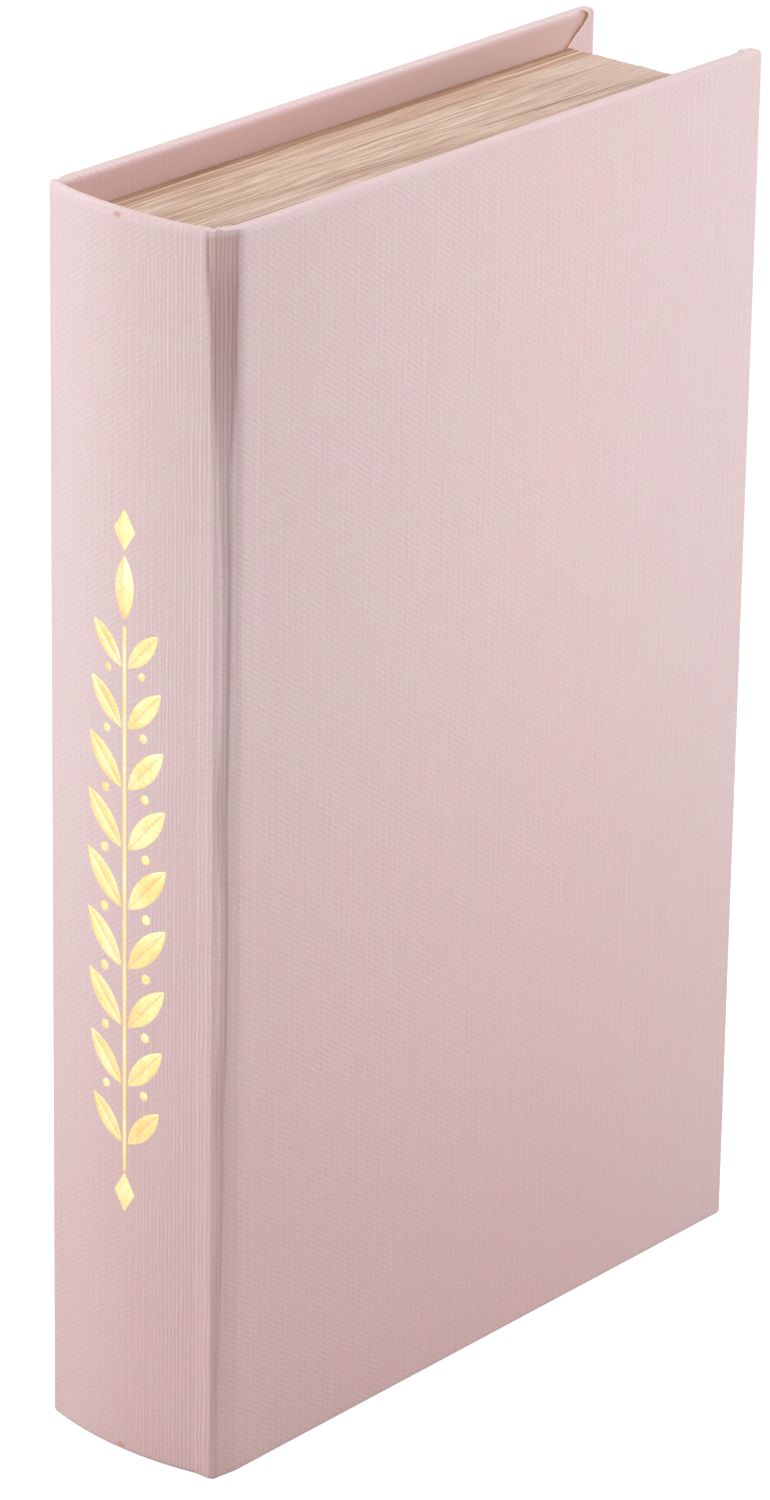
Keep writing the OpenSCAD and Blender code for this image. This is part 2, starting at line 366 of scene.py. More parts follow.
def cover_weave(points, normals, corners):
    x, y, z = points.T
    sideways, endways = abs(normals[:, 0]), abs(normals[:, 2])
    facing = abs(normals[:, 1])
    round_edge = y - Y_FACE
    flat_x = FLAT_SPINE + BRIDGE_LENGTH + x - BRIDGE_END.x
    u = np.where(sideways > np.maximum(endways, facing), flat_x + round_edge, flat_x)
    v = np.where(endways > np.maximum(sideways, facing), z + np.where(z > HEIGHT / 2, 1, -1) * round_edge, z)
    return np.stack([u, v], 1)


# Spine
SPINE_STEPS = 48


def spun_shell(name, outer_r, thickness, low, high, rim_r, half_angle, turned_in=None):
    """A rounded shell up the spine. With turned_in, only the skin that far round its ends."""
    select_only()
    middle = SPINE_AXIS - outer_r + thickness / 2
    place = (middle, 0, (low + high) / 2)
    bpy.ops.mesh.primitive_plane_add(size=1, location=place, rotation=(pi / 2, 0, 0))
    bpy.context.object.scale = (thickness, high - low, 1)
    piece = settle(name)
    editing(True)
    choose_all()
    bpy.ops.mesh.bevel(offset=rim_r, segments=RIM_STEPS, affect="VERTICES")
    if turned_in:
        choose_all("FACE")
        bpy.ops.mesh.delete(type="ONLY_FACE")
        bpy.ops.mesh.select_mode(type="EDGE")
        for z in (low + turned_in, high - turned_in):
            cut((0, 0, z), (0, 0, 1))
        x_in = middle + thickness / 2
        choose("EDGE", lambda e: lies(e, "x", x_in) and all(
            low + turned_in - NEAR < c.z < high - turned_in + NEAR for c in e))
        bpy.ops.mesh.delete(type="EDGE")
    choose_all()
    axis = (SPINE_AXIS, 0, 0)
    bpy.ops.mesh.spin(steps=SPINE_STEPS, angle=2 * half_angle, center=axis, axis=(0, 0, 1))
    choose_all()
    bpy.ops.mesh.remove_doubles(threshold=NEAR)
    bpy.ops.mesh.normals_make_consistent(inside=False)
    editing(False)
    turn = np.array(Matrix.Rotation(half_angle, 3, "Z"))
    start = np.array(axis)
    move_corners(piece, lambda points: (points - start) @ turn.T + start)
    return piece


def spine_weave(points, normals, corners):
    x, y, z = points.T
    u = -SPINE_R * np.arctan2(y, SPINE_AXIS - x)
    depth = SPINE_R - np.hypot(y, SPINE_AXIS - x)
    ends = np.where(z > HEIGHT / 2, 1, -1) * np.where(abs(normals[:, 2]) > 0.7, depth, 0)
    return np.stack([u, z + ends], 1)


# How far short of the spine's corners its cloth and its board stop
SPINE_CLOTH_STOP = 2.6 * MM
STIFFENER_STOP = 2.9 * MM
# How far the head's rim stands up, by the length along the cloth from the spine's back corner
BACK_RISE = in_mm((-34, 0), (-24, 0.25), (-16, 0.3), (-3, 0.27), (-1.5, 0.45), (0, 0.8), (1, 0.7),
                  (2, 0.25), (3, 0))
RISE_REACH = 8 * MM


def back_rise(length, z):
    return along(BACK_RISE, length) * ease(1 - (HEIGHT - z) / RISE_REACH)


def raise_head(points):
    x, y, z = points.T
    from_corner = SPINE_R * (np.arctan2(y, SPINE_AXIS - x) - SPINE_ANGLE)
    return np.stack([x, y, z + back_rise(from_corner, z)], 1)


def spine_cloth():
    """The cloth round the spine's board, turned in at the head and the tail."""
    half_angle = SPINE_ANGLE - SPINE_CLOTH_STOP / SPINE_R
    piece = spun_shell("spine_covering", SPINE_R, SPINE_T, 0, HEIGHT, SPINE_RIM_R, half_angle, TURN_IN)
    move_corners(piece, raise_head)
    finish_with(piece, "SOLIDIFY", thickness=CLOTH_T, offset=-1)
    smooth_rims(piece)
    set_weave(piece, spine_weave)
    return piece


def spine_stiffener():
    """The board inside the spine's cloth, short of the pressed joints."""
    piece = spun_shell("spine_stiffener", SPINE_R - CLOTH_T, SPINE_T - 2 * CLOTH_T, CLOTH_T,
                       HEIGHT - CLOTH_T, SPINE_RIM_R - CLOTH_T, SPINE_ANGLE - STIFFENER_STOP / SPINE_R)
    smooth_rims(piece)
    return piece


# Joints. Lengths along the joint count from the spine's corner towards the cover.
JOINT_FROM, JOINT_TO = -4.2 * MM, BRIDGE_LENGTH + 5.5 * MM
JOINT_COLUMNS = 76
# In mm, by height: where the pressed groove starts, where its floor starts and ends, where the shallow
# step beyond its floor ends, how deep it is, and how dark it is painted: partly the pressing's darkening,
# partly painted shade in the groove
GROOVE = np.array([
    (0, -0.3, 0.6, 0.8, 3, 0.1, 0.3), (10, -0.3, 0.6, 0.8, 3, 0.1, 0.4),
    (25, -0.1, 0.8, 1.1, 3.2, 0.15, 0.6), (38, 0, 1, 1.4, 3.6, 0.25, 0.6),
    (49, 0.1, 1.2, 1.6, 4, 0.3, 0.6), (58, 0.2, 1.4, 1.9, 4.1, 0.3, 0.6),
    (67, 0.2, 1.5, 2.1, 4.2, 0.3, 0.5), (76, 0.1, 1.3, 2, 4.3, 0.3, 0.6),
    (84, 0, 1.2, 2.1, 4.3, 0.35, 0.75), (92, 0.1, 1.3, 2.4, 4.4, 0.35, 0.7),
    (100, 0.5, 1.8, 2.6, 4.4, 0.35, 0.5), (110, 0.7, 2, 2.7, 4.5, 0.35, 0.5),
    (128, 0.8, 2.1, 2.7, 4.7, 0.4, 0.45), (137, 0.4, 1.5, 2.5, 4.8, 0.4, 0.6),
    (146, -0.1, 1.1, 2.3, 4.9, 0.45, 0.7), (154, -0.1, 1.2, 2.6, 5, 0.45, 0.7),
    (163, 0.4, 1.8, 2.7, 5.1, 0.45, 0.6), (175, 0.8, 2.1, 2.8, 5.2, 0.45, 0.5),
    (193, 0.8, 2, 3, 5.3, 0.45, 0.5), (204, 0.6, 1.8, 3.1, 5.3, 0.5, 0.55),
    (212, 0.2, 1.5, 3, 5.4, 0.5, 0.55), (220, -0.3, 1.2, 2.9, 5.6, 0.55, 0.5),
    (228, -0.8, 0.8, 3.7, 5.6, 0.6, 0.8), (236, -1.1, 0.2, 4.3, 5.6, 0.6, 1.05),
    (245, -1.3, -0.1, 4.5, 5.6, 0.6, 1.15), (254, -1.6, -0.4, 4.5, 5.6, 0.6, 1.2),
    (262, -2.4, -1.3, 4.7, 5.5, 0.6, 1.05), (270, -2.4, -1.4, 4.6, 5.5, 0.5, 1)])
GROOVE_DEPTH = 0.85 * MM
# How wide the slope beyond the groove's floor is, in mm, and the step's share of the depth
FAR_EDGE, STEP_SHARE = 0.9, 0.15
# How far the joint's cloth laps over the cloth beside it
JOINT_LIFT = 0.05 * MM
# Towards the tail the joint stands out: by the length along it, how far, and what share by height
TAIL_BULGE = in_mm((-3.8, 0), (-2, 0.3), (-0.6, 0.75), (0.3, 1.2), (0.8, 1.5), (2.5, 0.95), (4, 0.62),
                   (5.5, 0.25), (6.6, 0))
BULGE_SHARE = [(0, 1), (30 * MM, 0.9), (60 * MM, 0.65), (100 * MM, 0.55), (190 * MM, 0.5), (225 * MM, 0)]
# Thickness at the turned-in ends, and the radius of their rims, by the length along the joint
COVER_MM = (Y_INSIDE - Y_FACE) / MM
SPINE_MM = SPINE_T / MM
FRONT_THICKNESS = in_mm((-2.4, SPINE_MM), (-1.2, 1.8), (1.5, 1.8), (2.5, COVER_MM))
BACK_THICKNESS = in_mm((-2.4, SPINE_MM), (-1.2, 1.9), (0, 1.5), (1.5, 1.5), (2.5, 2.1), (4, 2.85),
                       (6.4, COVER_MM))
JOINT_RIM = [(-3 * MM, SPINE_RIM_R), (6 * MM, RIM_R)]
# The lump of folded cloth at the front joint's head: its height, where it is and how wide
FOLD_LUMP = 0.5 * MM
LUMP_AT, LUMP_WIDTH = 0.7 * MM, 0.8 * MM


def joint_outside(length):
    """Points along the outside of an unpressed joint: the spine, a bridge of cloth, the cover."""
    on_spine = SPINE_ANGLE + np.minimum(length, 0) / SPINE_R
    share = np.clip(length / BRIDGE_LENGTH, 0, 1)
    past = np.maximum(length - BRIDGE_LENGTH, 0)
    x = SPINE_AXIS - SPINE_R * np.cos(on_spine) + share * (BRIDGE_END.x - BRIDGE_START.x) + past
    y = -SPINE_R * np.sin(on_spine) + share * (BRIDGE_END.y - BRIDGE_START.y)
    return np.stack([x, y], 1)


def softened(length, reach):
    """The same line with its corners rounded off over this reach to each side."""
    shifts = np.linspace(-reach, reach, 9)
    return np.mean([joint_outside(length + shift) for shift in shifts], axis=0)


def joint_rows():
    """Rows round the joint cloth, tail to head: which end, share of the height, shares of the way
    round the outer rim, across the thickness and round the inner rim, and distance turned in."""
    quarter = np.linspace(0, 1, 5)[1:]
    fold = [(a, 0, 0, 0) for a in quarter] + [(1, 0.5, 0, 0), (1, 1, 0, 0)] + [(1, 1, a, 0) for a in quarter]
    fold += [(1, 1, 1, d) for d in np.linspace(0, TURN_IN - RIM_R, 4)[1:]]
    outside = [(0, share, 0, 0, 0, 0) for share in np.linspace(0, 1, 80)]
    return np.array([(-1, 0, *row) for row in fold[::-1]] + outside + [(1, 1, *row) for row in fold])


def joint_cloth(name, at_back=False):
    """The cloth across a joint. The back's is pressed less and has no lump, and its head stands up."""
    rows = joint_rows()
    pressed, pasted = [], []
    lump_height = 0 if at_back else FOLD_LUMP
    thickness = BACK_THICKNESS if at_back else FRONT_THICKNESS

    def place(u, v):
        length = JOINT_FROM + u * (JOINT_TO - JOINT_FROM)
        end, share, outer, across, inner, drop = rows[np.rint(v * (len(rows) - 1)).astype(int)].T
        thick = along(thickness, length)
        rim = np.minimum(thick / 2, along(JOINT_RIM, length))
        lift = rim * (np.sin(outer * pi / 2) + np.cos(inner * pi / 2) - 1)
        depth = rim * (1 - np.cos(outer * pi / 2) + np.sin(inner * pi / 2)) + across * (thick - 2 * rim)
        lump = lump_height * np.exp(-((length - LUMP_AT) / LUMP_WIDTH) ** 2) * np.maximum(lift, 0) / rim
        z = rim + share * (HEIGHT - 2 * rim)
        middle = ease((length - JOINT_FROM) / (1.4 * MM)) * ease((JOINT_TO - length) / (1.8 * MM))
        proud = JOINT_LIFT * (2 * middle - 1)
        z = np.where(end > 0, HEIGHT - rim + lift + lump + proud * lift / rim - drop, z)
        z = np.where(end < 0, rim - lift * 0.97 + drop, z)
        line = softened(length, 0.5 * MM)
        run = softened(length + 0.1 * MM, 2.2 * MM) - softened(length - 0.1 * MM, 2.2 * MM)
        run /= np.linalg.norm(run, axis=1)[:, None]
        inward = np.stack([-run[:, 1], run[:, 0]], 1)
        at_mm = length / MM
        heights, *columns = GROOVE.T
        start, floor, rise, stop, deep, dark = (np.interp(z / MM, heights, column) for column in columns)
        if at_back:
            start, floor, dark = np.maximum(start, 0.8), np.maximum(floor, 2), dark * 0.5
        near_wall = ease((at_mm - start) / (floor - start))
        step = ease((stop - at_mm) / FAR_EDGE) * STEP_SHARE
        shape = near_wall * (step + ease((rise + FAR_EDGE - at_mm) / FAR_EDGE) * (1 - STEP_SHARE))
        from_end = np.minimum(HEIGHT - z, z)
        # The pressed mark darkens the groove: partly the pressing's real darkening, partly painted shade in
        # the groove
        pressed.append(shape * dark * ease((from_end - 0.15 * MM) / (0.6 * MM)))
        shape = shape * ease(from_end / (1.2 * MM))
        # Marks the inner side of the turn-ins, which gets the painted shade of the covers' inner faces
        pasted.append(inner * ease((length + 1.4 * MM) / (0.8 * MM)))
        z = z - sag(X_JOINT, z, depth / thick) * ease((length - 0.5 * MM) / (3 * MM))
        over_board = ease((length - 1.3 * MM) / (1.2 * MM)) * depth / thick
        sunk = GROOVE_DEPTH * deep * shape * (1 - over_board) + depth - proud * (1 - 2 * depth / thick)
        if at_back:
            z = z + back_rise(length, z)
        else:
            sunk -= along(TAIL_BULGE, length) * along(BULGE_SHARE, z) * (1 - over_board)
        at = line + inward * sunk[:, None]
        flat_v = z + end * depth
        return np.stack([at[:, 0], at[:, 1], z], 1), np.stack([FLAT_SPINE + length, flat_v], 1)

    piece = sheet(name, JOINT_COLUMNS, len(rows) - 1, place)
    set_mark(piece, "pressed", pressed[0])
    set_mark(piece, "pasted", pasted[0])
    finish_with(piece, "SOLIDIFY", thickness=CLOTH_T * 0.9, offset=-1)
    select_only(piece)
    bpy.ops.object.shade_smooth()
    return piece


def turned_to_back(piece, name):
    """A copy turned over from the front to the back."""
    select_only(piece)
    bpy.ops.object.duplicate()
    copy = bpy.context.object
    copy.name = copy.data.name = name
    move_corners(copy, lambda points: points * (1, -1, 1))
    editing(True)
    choose_all()
    bpy.ops.mesh.flip_normals()
    editing(False)
    # The back's cloth counts the other way from the middle of the spine
    layer = copy.data.uv_layers["weave"].data
    pairs = numbers(layer, "uv", 2) * (-1, 1)
    layer.foreach_set("uv", pairs.astype(np.float32).ravel())
    return copy


# Inner hinge strip
STRIP_BEND_R = 0.6 * MM
STRIP_GRID = 96, 24


def hinge_strip():
    """Paper pasted to the lid, across the joint, and down behind the spine wall."""
    x_end, x_drop = strip_high.x, strip_low.x
    y_lid, y_end = strip_low.y + PAPER_T, strip_high.y
    flat = x_end - x_drop - STRIP_BEND_R
    bend = STRIP_BEND_R * pi / 2
    total = flat + bend + (y_end - y_lid - STRIP_BEND_R)

    def place(u, v):
        length = u * total
        angle = np.clip((length - flat) / bend, 0, 1) * pi / 2
        x = x_end - np.minimum(length, flat) - STRIP_BEND_R * np.sin(angle)
        y = y_lid + STRIP_BEND_R * (1 - np.cos(angle)) + np.maximum(length - flat - bend, 0)
        z = strip_low.z + v * (strip_high.z - strip_low.z)
        return np.stack([x, y, z], 1), np.stack([length, z], 1)

    piece = sheet("hinge_strip", *STRIP_GRID, place)
    finish_with(piece, "SOLIDIFY", thickness=PAPER_T, offset=-1)
    smooth(piece, 50)
    return piece


# False page edges: how far leaves lie back, how deep the slits are, how far the leaves waver and over
# which lengths, how far they stand past the solid, and how thick the skin is
LEAVES = 44
PAGE_SEED = 5
LEAF_BACK = 0.12 * MM
SLIT_DEPTH = (0.05 * MM, 0.2 * MM)
WAVER = 0.5 * MM
WAVE_LENGTHS = (0.028, 0.041, 0.067, 0.105, 0.19)
RIPPLE = 0.07 * MM
PAGE_RISE = 0.4 * MM
PAGE_SKIN = 1.2 * MM
PAGE_STEP = 3.2 * MM
PAGE_CORNER_R = 0.5 * MM


def page_edges():
    """The leaves' edges round the head, the fore edge and the tail, in one strip."""
    rng = np.random.default_rng(PAGE_SEED)
    y_low, y_high = head_low.y, head_high.y
    z_head = head_high.z + PAGE_RISE
    x_turn, z_turn = fore_high.x - PAGE_CORNER_R, z_head - PAGE_CORNER_R
    widths = rng.uniform(0.55, 1.6, LEAVES)
    edges = np.concatenate([[0], np.cumsum(widths) / widths.sum()]) * (y_high - y_low)
    across, backs, slits = [], [], []
    for low, high in zip(edges[:-1], edges[1:]):
        width = high - low
        back, slit = rng.uniform(0, LEAF_BACK), rng.uniform(*SLIT_DEPTH)
        across += [low, low + 0.13 * width, low + 0.5 * width, low + 0.87 * width]
        backs += [back + slit, back + 0.04 * MM, back, back + 0.04 * MM]
        slits += [1, 0.25, 0, 0.25]
    across, backs, slits = map(np.array, (across + [y_high - y_low], backs + [0.3 * MM], slits + [1]))
    waves = rng.uniform(0, 2 * pi, (len(WAVE_LENGTHS), 2))
    turn = PAGE_CORNER_R * pi / 2
    run = x_turn - head_low.x
    total = 2 * run + 2 * turn + 2 * z_turn - HEIGHT
    steps = round(total / PAGE_STEP)
    slit_shade_mark = []

    def place(u, v):
        row = np.rint(v * (len(across) - 1)).astype(int)
        length = u * total
        wobble = sum(np.sin(2 * pi * length / wave + a + 90 * across[row] + b * across[row] / (9 * MM))
                     for wave, (a, b) in zip(WAVE_LENGTHS, waves)) / 3
        from_edge = np.minimum(across[row], y_high - y_low - across[row])
        y = y_low + across[row] + WAVER * wobble * ease(from_edge / (3 * MM))
        ripple = RIPPLE * np.sin(length / (11 * MM) + row * 1.7) * (slits[row] < 1)
        slit_shade_mark.append(slits[row])
        x_end = SPINE_AXIS - np.sqrt((SPINE_R - SPINE_T - GLUE_GAP) ** 2 - y ** 2)
        from_end = np.minimum(length, total - length)
        angle = np.clip((from_end - run) / PAGE_CORNER_R, 0, pi / 2)
        r = PAGE_CORNER_R - (backs[row] + ripple + 0.05 * MM)
        x = x_end + np.minimum(from_end / run, 1) * (x_turn - x_end) + r * np.sin(angle)
        z = z_turn + r * np.cos(angle) - np.maximum(from_end - run - turn, 0)
        z = np.where(length > total / 2, HEIGHT - z, z)
        return np.stack([x, y, z], 1), np.stack([length, across[row]], 1)

    piece = sheet("page_edges", steps, len(across) - 1, place)
    set_mark(piece, "slit", slit_shade_mark[0])
    finish_with(piece, "SOLIDIFY", thickness=PAGE_SKIN, offset=-1)
    smooth(piece, 60)
    return piece


# Gold ornament: a sprig of leaves and berries between two lozenges, drawn flat, then laid on the spine
FOIL_T = 0.06 * MM
FOIL_EDGE = 0.22 * MM
SPRIG_LOW, SPRIG_HIGH = 66 * MM, 198 * MM
SPRIG_ACROSS = 1.0 * MM
LEAF_PAIRS = 9
LEAF_LENGTH, LEAF_WIDTH = 14.5 * MM, 5.2 * MM
LEAF_ANGLE = radians(42)
MIDRIB = 0.22 * MM
BERRY_R, LOZENGE_R, STEM_WIDTH = 1.15 * MM, 4.6 * MM, 1.0 * MM
STEM_CUTS = 30


def foil_shape(name, corners, radius, stretch, half=False):
    """A pointed or plain shape of foil, from a circle, with its rim sloping down to the cloth."""
    select_only()
    bpy.ops.mesh.primitive_circle_add(vertices=corners, radius=radius, fill_type="NGON",
                                      rotation=(0, 0, pi / 2))
    piece = settle(name)
    move_corners(piece, lambda points: points * (stretch, 1, 1))
    editing(True)
    if half:
        cut((MIDRIB / 2, 0, 0), (1, 0, 0), clear_inner=True)
    choose_all("FACE")
    bpy.ops.mesh.inset(thickness=FOIL_EDGE, depth=FOIL_T)
    editing(False)
    return piece


def pointed(points, length):
    """Draws a long round shape to a point at each end."""
    x, y, z = points.T
    t = np.clip(abs(y) / (length / 2), 0, 1)
    return np.stack([x * (1 - t ** 2.2) / np.sqrt(np.maximum(1 - t ** 2, 0.02)), y, z], 1)


def copied(piece, matrix):
    copy = piece.copy()
    copy.data = piece.data.copy()
    copy.data.transform(matrix)
    if matrix.determinant() < 0:
        copy.data.flip_normals()
    bpy.context.scene.collection.objects.link(copy)
    return copy


def ornament():
    ratio = LEAF_WIDTH / LEAF_LENGTH
    half_leaf = foil_shape("half_leaf", 36, LEAF_LENGTH / 2, ratio, half=True)
    move_corners(half_leaf, lambda points: pointed(points, LEAF_LENGTH))
    berry = foil_shape("berry", 18, BERRY_R, 1)
    lozenge = foil_shape("lozenge", 4, LOZENGE_R, 0.62)
    flip = Matrix.Diagonal((-1, 1, 1, 1))
    parts = []

    def leaf(at, angle, size):
        base = Matrix.Translation((*at, 0)) @ Matrix.Rotation(angle, 4, "Z") @ Matrix.Scale(size, 4)
        base = base @ Matrix.Translation((0, LEAF_LENGTH * 0.54, 0))
        parts.extend([copied(half_leaf, base), copied(half_leaf, base @ flip)])

    spacing = (SPRIG_HIGH - SPRIG_LOW - LEAF_LENGTH) / LEAF_PAIRS
    for i in range(LEAF_PAIRS):
        z = SPRIG_LOW + (i + 0.35) * spacing
        size = 0.78 + 0.22 * sin(pi * (i + 0.8) / LEAF_PAIRS)
        for side in (1, -1):
            leaf((side * 0.5 * MM, z), -side * LEAF_ANGLE, size)
            if i:
                stalk = (side * 5.6 * MM * size, z - 0.05 * spacing)
                parts.append(copied(berry, Matrix.Translation((*stalk, 0)) @ Matrix.Scale(size, 4)))
    leaf((0, SPRIG_LOW + (LEAF_PAIRS + 0.1) * spacing), 0, 0.95)
    for z in (SPRIG_LOW - 6.2 * MM, SPRIG_HIGH + 6.4 * MM):
        parts.append(copied(lozenge, Matrix.Translation((0, z, 0))))
    parts.append(stem(SPRIG_LOW - 1.5 * MM, SPRIG_LOW + (LEAF_PAIRS + 0.05) * spacing))
    for scratch in (half_leaf, berry, lozenge):
        bpy.data.objects.remove(scratch)
    select_only(parts[0])
    for part in parts:
        part.select_set(True)
    bpy.ops.object.join()
    piece = settle("spine_ornament")
    editing(True)
    for across in np.arange(-13, 13.1, 1):
        cut((across * MM, 0, 0), (1, 0, 0))
    editing(False)
    heights = np.array([corner.co.z for corner in piece.data.vertices])
    set_mark(piece, "foil_edge", 1 - heights / max(heights))
    move_corners(piece, lay_on_spine)
    set_weave(piece, spine_weave)
    smooth(piece, 50)
    return piece


def stem(low, high):
    """A thin straight stem, cut across so that it can bend."""
    select_only()
    bpy.ops.mesh.primitive_plane_add(size=1, location=(0, (low + high) / 2, 0))
    bpy.context.object.scale = (STEM_WIDTH, high - low, 1)
    piece = settle("stem")
    editing(True)
    choose_all()
    bpy.ops.mesh.inset(thickness=FOIL_EDGE, depth=FOIL_T)
    for i in range(1, STEM_CUTS):
        cut((0, low + (high - low) * i / STEM_CUTS, 0), (0, 1, 0))
    editing(False)
    return piece


def lay_on_spine(points):
    """Wraps a flat drawing, with its own x towards the lid and y up, round the spine."""
    across, up, out = points.T
    angle = (across + SPRIG_ACROSS) / SPINE_R
    r = SPINE_R + out - FOIL_T / 4
    return np.stack([SPINE_AXIS - r * np.cos(angle), -r * np.sin(angle), up], 1)


# Shader sums: a Value wraps one socket, and sums on Values add Math nodes
class Value:
    def __init__(self, finish, socket):
        self.finish, self.socket = finish, socket

    def math(self, operation, *terms):
        return self.finish.node("ShaderNodeMath", {"operation": operation}, dict(enumerate(terms)))

    def __add__(self, other):
        return self.math("ADD", self, other)

    def __radd__(self, other):
        return self.math("ADD", other, self)

    def __sub__(self, other):
        return self.math("SUBTRACT", self, other)

    def __rsub__(self, other):
        return self.math("SUBTRACT", other, self)

    def __mul__(self, other):
        return self.math("MULTIPLY", self, other)

    def __rmul__(self, other):
        return self.math("MULTIPLY", other, self)

    def __truediv__(self, other):
        return self.math("DIVIDE", self, other)

    def __abs__(self):
        return self.math("ABSOLUTE", self)

    def sin(self):
        return self.math("SINE", self)

    def sqrt(self):
        return self.math("SQRT", self)

    def exp(self):
        return self.math("EXPONENT", self)

    def max(self, other):
        return self.math("MAXIMUM", self, other)

    def min(self, other):
        return self.math("MINIMUM", self, other)

    def between(self, low, high):
        """0 below low, 1 above high, and smooth between them."""
        settings = {"interpolation_type": "SMOOTHSTEP"}
        sockets = {"Value": self, "From Min": low, "From Max": high}
        return self.finish.node("ShaderNodeMapRange", settings, sockets)

    def over_mm(self, low, high):
        """The same, with its ends in mm."""
        return self.between(low * MM, high * MM)


class Finish:
    """The nodes of one material, or of the world, written as sums."""
    def __init__(self, owner):
        owner.use_nodes = True
        self.tree = owner.node_tree
        self.shader = self.tree.nodes.get("Principled BSDF") or self.tree.nodes["Background"]

    def node(self, kind, settings=None, sockets=None, out=0):
        """A node of this kind, its settings first, then the values or links of its sockets."""
        made = self.tree.nodes.new(kind)
        for key, value in (settings or {}).items():
            if key == "stops":
                self.set_ramp(made.color_ramp, value)
            else:
                setattr(made, key, value)
        for key, value in (sockets or {}).items():
            self.feed(made.inputs[key], value)
        return Value(self, made.outputs[out])

    def set_ramp(self, ramp, stops):
        while len(ramp.elements) < len(stops):
            ramp.elements.new(0.5)
        for element, (place, colour) in zip(ramp.elements, stops):
            element.position, element.color = place, (*colour, 1)

    def feed(self, socket, value):
        if isinstance(value, Value):
            self.tree.links.new(value.socket, socket)
        elif isinstance(value, tuple) and socket.type == "RGBA":
            socket.default_value = (*value, 1)
        else:
            socket.default_value = value

    def set(self, **sockets):
        """Feeds the surface shader, with each underscore of a name standing for a space."""
        for key, value in sockets.items():
            self.feed(self.shader.inputs[key.replace("_", " ")], value)

    def flat(self):
        """The two lengths of the piece's own map."""
        return self.apart(self.node("ShaderNodeUVMap", {"uv_map": "weave"}))[:2]

    def place(self):
        """The object's own X, Y and Z."""
        return self.apart(self.node("ShaderNodeTexCoord", out="Object"))

    def apart(self, vector):
        split = self.node("ShaderNodeSeparateXYZ", None, {0: vector})
        return [Value(self, output) for output in split.socket.node.outputs]

    def mark(self, name):
        return self.node("ShaderNodeAttribute", {"attribute_name": name}, out="Fac")

    def noise(self, axes, grain_mm, offset=0.0, detail=2.0, rough=0.5):
        """Noise with grains of these sizes along two or three axes."""
        scaled = [axis / (size * MM) for axis, size in zip(axes, grain_mm)]
        at = self.node("ShaderNodeCombineXYZ", None, dict(enumerate([*scaled, offset][:3])))
        sockets = {"Vector": at, "Scale": 1.0, "Detail": detail, "Roughness": rough}
        return self.node("ShaderNodeTexNoise", None, sockets)

    def mix(self, share, a, b, how="MIX"):
        settings = {"data_type": "RGBA", "blend_type": how, "clamp_factor": True}
        return self.node("ShaderNodeMix", settings, {0: share, 6: a, 7: b}, out=2)

    def laid_over(self, colour, *layers):
        """The colour with these laid over it in turn, each with its share first."""
        for share, layer in layers:
            colour = self.mix(share, colour, layer)
        return colour

    def ramp(self, share, stops):
        return self.node("ShaderNodeValToRGB", {"stops": stops}, {0: share})

    def bump(self, height, distance, strength):
        sockets = {"Height": height, "Distance": distance, "Strength": strength}
        return self.node("ShaderNodeBump", None, sockets)


# Finishes: each writes one material. Lengths on the cloth are u across the book and v up it.
# Distance between threads that run up the book, and between those that run across
WARP_PITCH = 0.93 * MM
WEFT_PITCH = 0.645 * MM


def woven(finish, u, v, slant=0.0, ribbed=0.0):
    """Height of a plain weave, how far the upright thread lies on top, and its ribs. slant leans
    the pattern one way at -1 and the other at 1, and ribbed is how far the upright threads cover
    the others."""
    drift = (finish.noise((u, v), (3, 12)) - 0.5) * (0.8 * MM)
    lift = (finish.noise((u, v), (6, 3), 7.0) - 0.5) * (0.8 * MM)
    upright = (u + drift) * (pi / WARP_PITCH)
    level = (v + lift) * (pi / WEFT_PITCH)
    calm = 1 - abs(u).over_mm(50, 185) * 0.45
    loose = finish.noise((u, v), (2, 1.6), 11.0, detail=1.0).between(0.3, 0.7)
    strength = (loose * 0.2 + 0.06) * calm
    falling = (upright + level + pi / 2).sin()
    rising = (upright - level + pi / 2).sin()
    crossing = (rising * (slant * 0.6 + 1) - falling * (1 - slant * 0.6)) * 0.5
    on_top = crossing * strength * (1 - ribbed * 0.75) + 0.5
    across = upright.sin()
    height = (abs(across) * on_top + abs(level.sin()) * (1 - on_top) * (1 - ribbed) + across * 0.15) * calm
    return height, on_top, across


